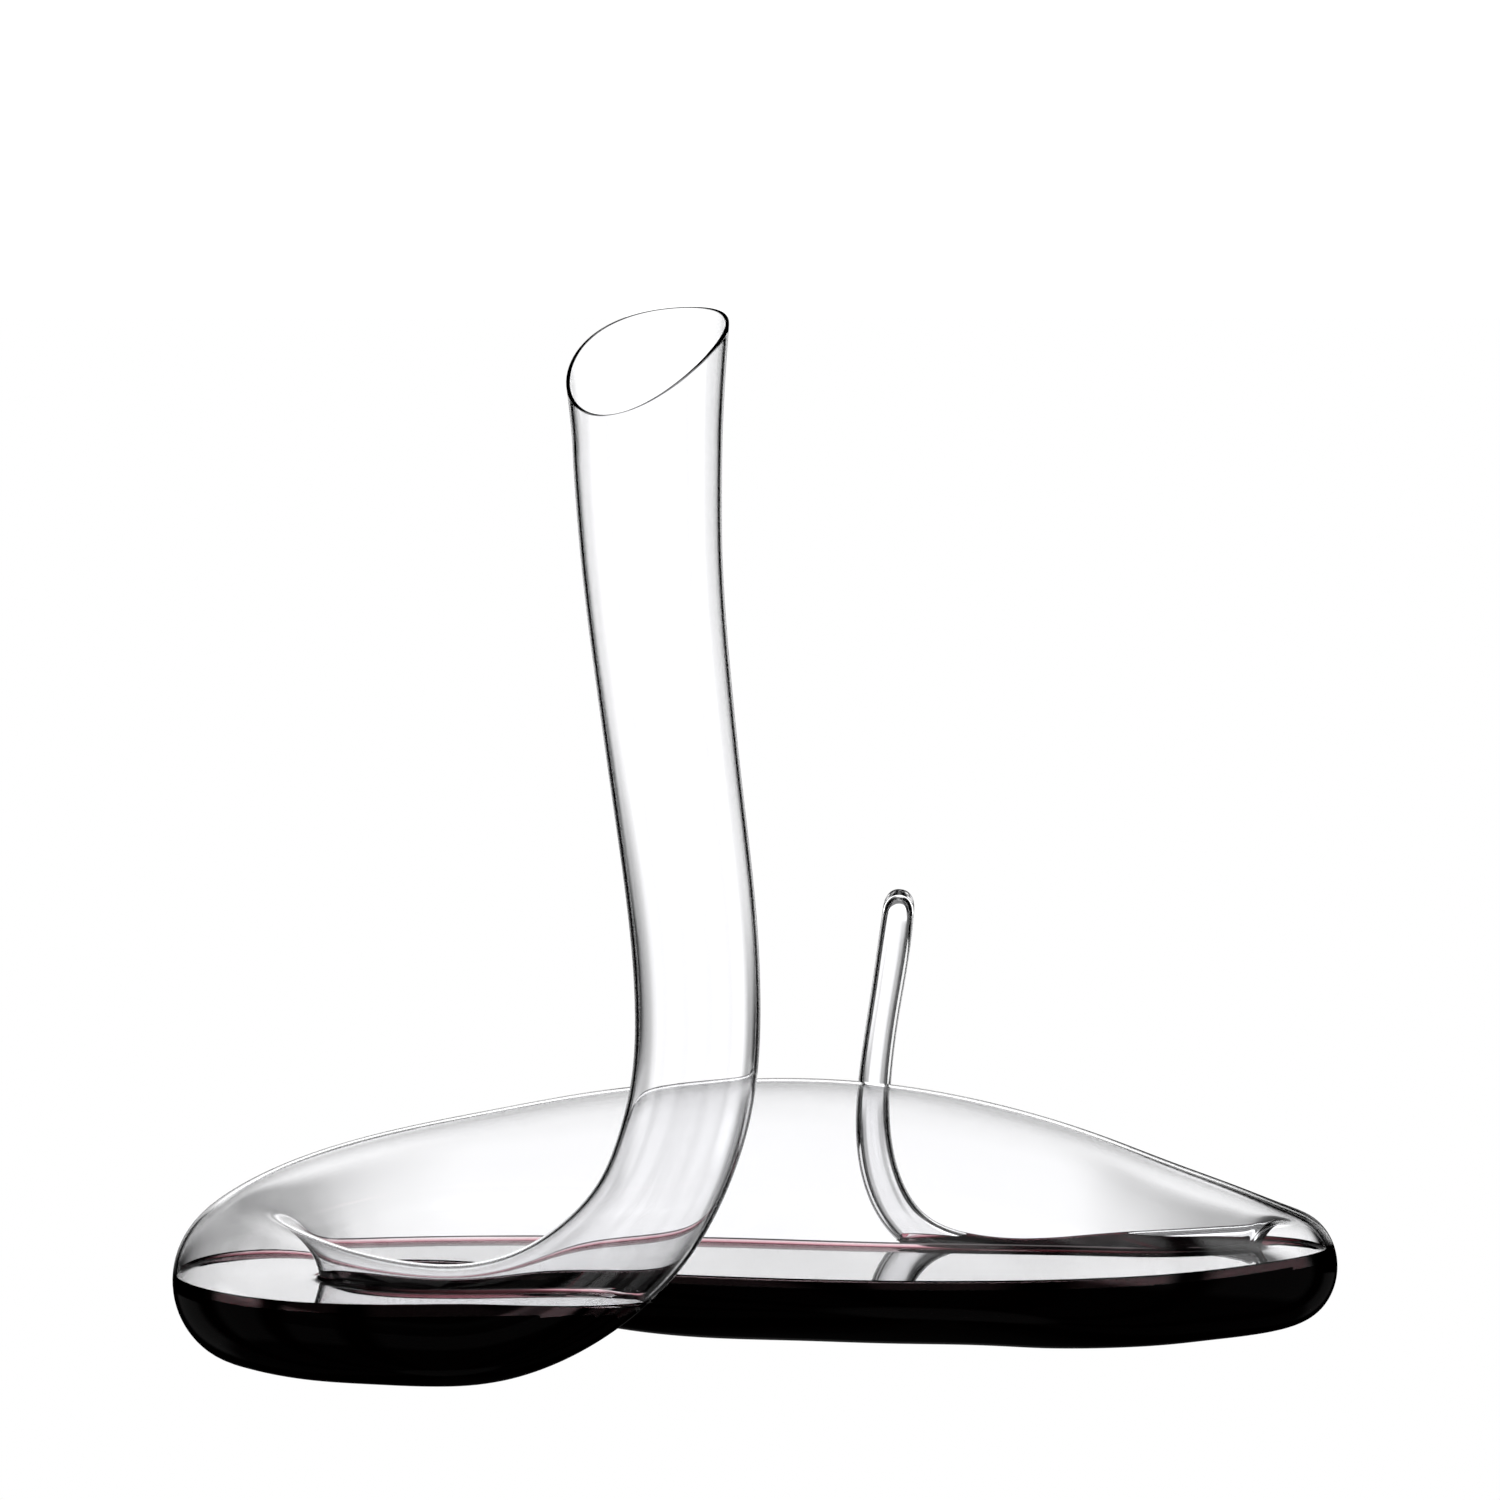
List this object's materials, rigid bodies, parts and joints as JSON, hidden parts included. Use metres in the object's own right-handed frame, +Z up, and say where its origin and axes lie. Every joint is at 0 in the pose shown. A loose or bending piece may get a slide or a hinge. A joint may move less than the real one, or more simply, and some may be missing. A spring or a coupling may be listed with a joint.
{
  "type": "wine decanter",
  "caption": "Blown-glass wine decanter shaped like a coiled serpent: tall neck with a slanted mouth, curved belly and a thin upright closed tail, partly filled with red wine.",
  "frame": {"origin": "centre of the footprint's bounding box on the table surface", "axes": "+X along the belly towards the folded heel, +Y away from the neck's side (front is -Y), +Z up"},
  "size_m": [0.3728, 0.1523, 0.3309],
  "materials": {
    "clear_glass": "clear polished lead-free crystal",
    "red_wine": "dark red, almost black liquid"
  },
  "bodies": {
    "root": {"lip_rim": "clear_glass", "neck_upper": "clear_glass", "neck_lower": "clear_glass", "throat": "clear_glass", "front_bowl": "clear_glass", "turn_front": "clear_glass", "turn_rear": "clear_glass", "shoulder": "clear_glass", "belly": "clear_glass", "taper": "clear_glass", "heel_front": "clear_glass", "heel_rear": "clear_glass", "tail_base": "clear_glass", "tail_bend": "clear_glass", "tail_stem": "clear_glass", "tail_tip": "clear_glass", "wine_fill": "red_wine"}
  },
  "joints": []
}
